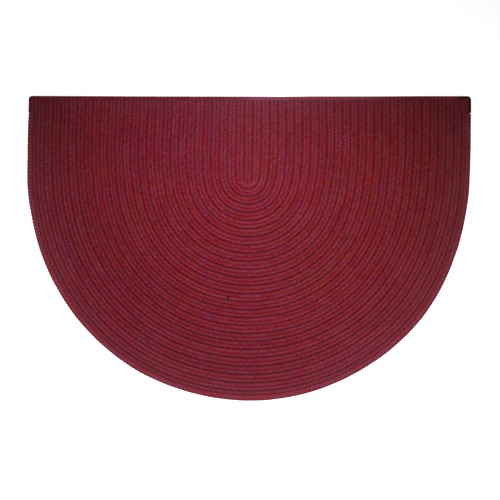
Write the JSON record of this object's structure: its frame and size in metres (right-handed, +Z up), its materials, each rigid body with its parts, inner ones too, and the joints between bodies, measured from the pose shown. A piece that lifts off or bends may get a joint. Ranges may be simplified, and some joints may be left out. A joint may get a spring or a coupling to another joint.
{
  "type": "braided rug",
  "caption": "Half-oval braided rug in wine red yarn: flat braids sewn edge to edge round a straight core, with a bound straight edge, to lie on a floor by a hearth, sink or door.",
  "frame": {"origin": "middle of the rug's footprint, on the floor", "axes": "+X along the straight bound edge, +Y from the round end towards the straight edge, +Z up out of the upper face"},
  "size_m": [0.762, 0.523, 0.009],
  "materials": {
    "braid_yarn": "matte wine red plaited yarn, flecked between crimson, maroon and plum",
    "binding_strip": "matte dark wine red woven strip"
  },
  "bodies": {
    "root": {"braided_body": "braid_yarn", "edge_binding": "binding_strip"}
  },
  "joints": []
}
